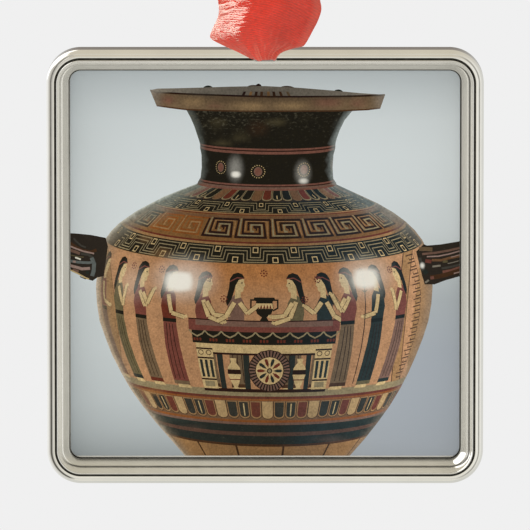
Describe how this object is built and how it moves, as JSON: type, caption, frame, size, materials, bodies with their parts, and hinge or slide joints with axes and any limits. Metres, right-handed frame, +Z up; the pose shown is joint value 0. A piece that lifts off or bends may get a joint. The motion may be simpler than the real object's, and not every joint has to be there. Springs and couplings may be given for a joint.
{
  "type": "hanging picture ornament",
  "caption": "Square cast metal picture ornament with rounded corners, moulded edges and a recessed printed panel, hung by a loop of satin ribbon.",
  "frame": {"origin": "the hanging point: the inside of the ribbon loop at its top, where a hook or twig carries it", "axes": "+Z up along the hanging ribbon, and the picture faces -Y"},
  "size_m": [0.0604, 0.0137, 0.1117],
  "materials": {
    "silver_plate": "polished",
    "printed_panel": "gloss print",
    "satin_ribbon": "satin"
  },
  "bodies": {
    "root": {"frame": "silver_plate", "picture_panel": "printed_panel", "ribbon": "satin_ribbon"}
  },
  "joints": []
}
